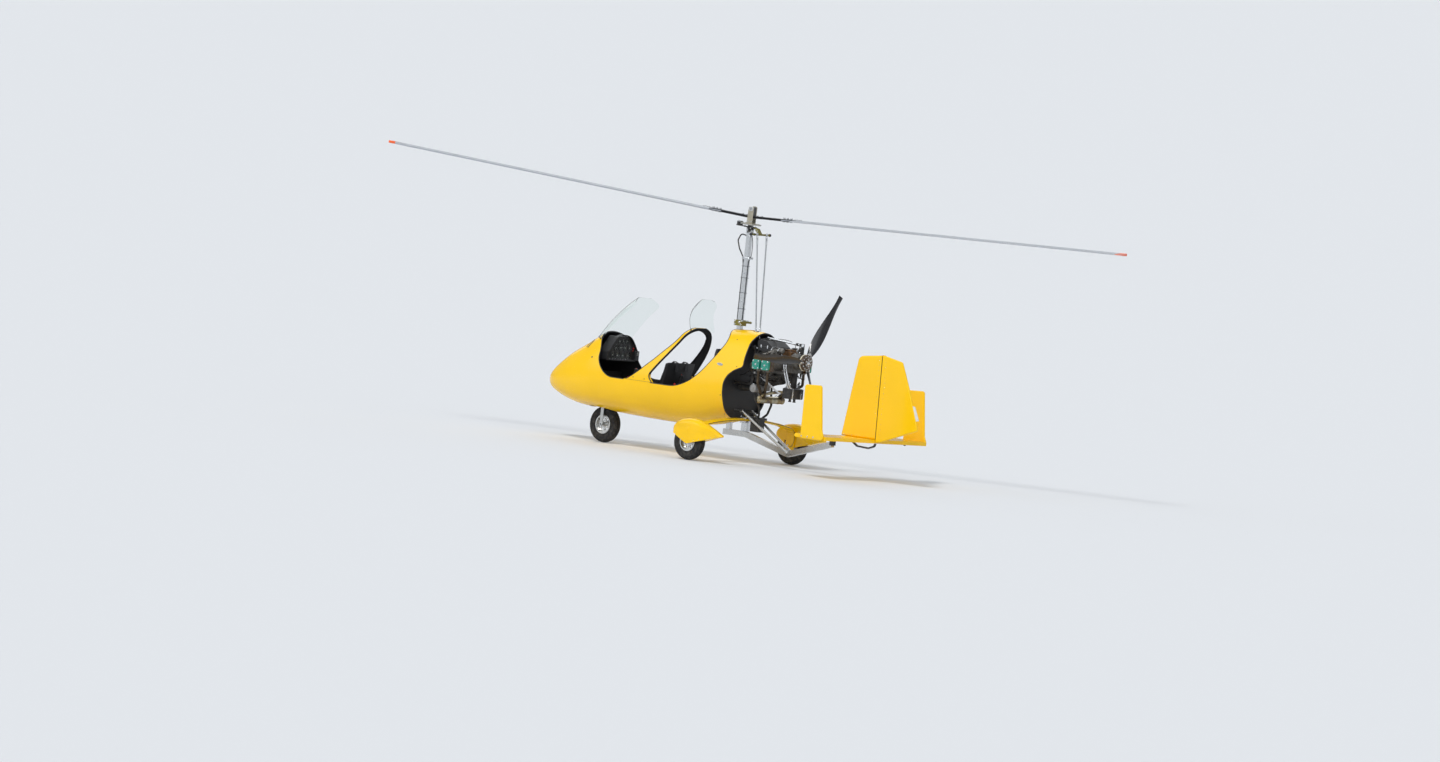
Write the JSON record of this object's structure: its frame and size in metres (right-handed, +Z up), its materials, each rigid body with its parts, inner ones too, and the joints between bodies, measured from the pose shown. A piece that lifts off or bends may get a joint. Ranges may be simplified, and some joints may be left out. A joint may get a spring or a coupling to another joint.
{
  "type": "tandem two-seat open gyrocopter",
  "caption": "Open tandem gyrocopter: yellow pod with cockpits and clear screens, pusher engine with propeller, tall mast with a teetering rotor, sprung main gear, finned tail.",
  "frame": {"origin": "on the ground under the rotor hub", "axes": "+X forward, +Y to the left, +Z up"},
  "size_m": [7.9768, 2.9748, 2.9656],
  "materials": {
    "yellow_gelcoat": "gloss",
    "black_trim": "satin",
    "clear_screen": "gloss",
    "seat_cloth": "matt",
    "polished_steel": "polished",
    "painted_black": "satin",
    "engine_alloy": "cast",
    "engine_bronze": "satin",
    "green_cover": "gloss",
    "olive_fitting": "satin",
    "rotor_alloy": "anodised",
    "hub_black": "anodised",
    "orange_tip": "gloss",
    "prop_black": "satin",
    "tyre_rubber": "matt",
    "rim_alloy": "polished"
  },
  "bodies": {
    "airframe": {"fuselage_shell": "yellow_gelcoat", "cockpit_bow": "yellow_gelcoat", "front_windscreen": "clear_screen", "rear_windscreen": "clear_screen", "instrument_panel": "black_trim", "front_seat": "seat_cloth", "rear_seat": "seat_cloth", "control_sticks": "black_trim", "rudder_pedals": "painted_black", "nose_bulkhead": "black_trim", "firewall": "black_trim", "mast": "polished_steel", "mast_fittings": "olive_fitting", "keel_tube": "polished_steel", "brace_tubes": "polished_steel", "gear_bow": "yellow_gelcoat", "gear_saddle": "painted_black", "main_axles": "polished_steel", "wheel_spats": "yellow_gelcoat", "engine_tray": "painted_black", "engine_mount": "painted_black", "crankcase": "engine_alloy", "cylinders": "engine_alloy", "cylinder_heads": "engine_alloy", "valve_covers": "green_cover", "gearbox": "engine_alloy", "carburettors": "engine_bronze", "airbox": "black_trim", "exhaust_pipes": "polished_steel", "silencer": "polished_steel", "rear_muffler": "painted_black", "oil_filter": "engine_alloy", "top_strut": "polished_steel", "engine_hoses": "black_trim", "mast_cable": "black_trim", "stabilizer": "yellow_gelcoat", "centre_fin": "yellow_gelcoat", "tip_fins": "yellow_gelcoat", "tail_mount": "painted_black", "tail_skid": "painted_black"},
    "fork": {"nose_fork": "painted_black"},
    "nose_wheel": {"nose_tyre": "tyre_rubber", "nose_rim": "rim_alloy"},
    "left_wheel": {"left_tyre": "tyre_rubber", "left_rim": "rim_alloy"},
    "right_wheel": {"right_tyre": "tyre_rubber", "right_rim": "rim_alloy"},
    "propeller": {"prop_hub": "hub_black", "prop_blades": "prop_black"},
    "rudder": {"rudder": "yellow_gelcoat"},
    "gimbal": {"gimbal_block": "polished_steel"},
    "head": {"head_bracket": "painted_black", "pitch_lever": "olive_fitting", "prerotator": "painted_black"},
    "rotor_head": {"rotor_tower": "rotor_alloy"},
    "rotor": {"hub_bar": "hub_black", "rotor_blades": "rotor_alloy", "blade_tips": "orange_tip"},
    "left_rod": {"control_rod_left": "polished_steel"},
    "right_rod": {"control_rod_right": "polished_steel"}
  },
  "joints": [
    {"name": "nose_steer", "type": "hinge", "parent": "airframe", "child": "fork", "pos_m": [1.762, 0, 0.5], "axis": [0, 0, 1], "range_deg": [-30, 30]},
    {"name": "nose_wheel_spin", "type": "hinge", "parent": "fork", "child": "nose_wheel", "pos_m": [1.723, 0, 0.195], "axis": [0, 1, 0], "continuous": true},
    {"name": "left_wheel_spin", "type": "hinge", "parent": "airframe", "child": "left_wheel", "pos_m": [-0.193, 0.85, 0.195], "axis": [0, 1, 0], "continuous": true},
    {"name": "right_wheel_spin", "type": "hinge", "parent": "airframe", "child": "right_wheel", "pos_m": [-0.193, -0.85, 0.195], "axis": [0, 1, 0], "continuous": true},
    {"name": "propeller_spin", "type": "hinge", "parent": "airframe", "child": "propeller", "pos_m": [-0.958, 0, 1.144], "axis": [1, 0, 0], "continuous": true},
    {"name": "rudder_turn", "type": "hinge", "parent": "airframe", "child": "rudder", "pos_m": [-2.038, 0, 0.418], "axis": [0.0217, 0, 0.9998], "range_deg": [-28, 28]},
    {"name": "head_roll", "type": "hinge", "parent": "airframe", "child": "gimbal", "pos_m": [0, 0, 2.446], "axis": [1, 0, 0], "range_deg": [-8, 8]},
    {"name": "head_pitch", "type": "hinge", "parent": "gimbal", "child": "head", "pos_m": [0, 0, 2.468], "axis": [0, 1, 0], "range_deg": [-16, 2]},
    {"name": "rotor_spin", "type": "hinge", "parent": "head", "child": "rotor_head", "pos_m": [0, 0, 2.468], "axis": [-0.0366, 0, 0.9993], "continuous": true},
    {"name": "rotor_teeter", "type": "hinge", "parent": "rotor_head", "child": "rotor", "pos_m": [-0.00813, 0, 2.68985], "axis": [-0.3418, 0.9397, -0.0125], "range_deg": [-8, 8]},
    {"name": "left_rod_slide", "type": "slide", "parent": "airframe", "child": "left_rod", "axis": [0.0815, 0.0453, 0.9956], "range_m": [-0.045, 0.008]},
    {"name": "right_rod_slide", "type": "slide", "parent": "airframe", "child": "right_rod", "axis": [0.0815, -0.0453, 0.9956], "range_m": [-0.045, 0.008]}
  ],
  "couplings": [
    {"joint": "left_rod_slide", "follows": "head_pitch", "m_per_rad": 0.1485},
    {"joint": "right_rod_slide", "follows": "head_pitch", "m_per_rad": 0.1485}
  ]
}
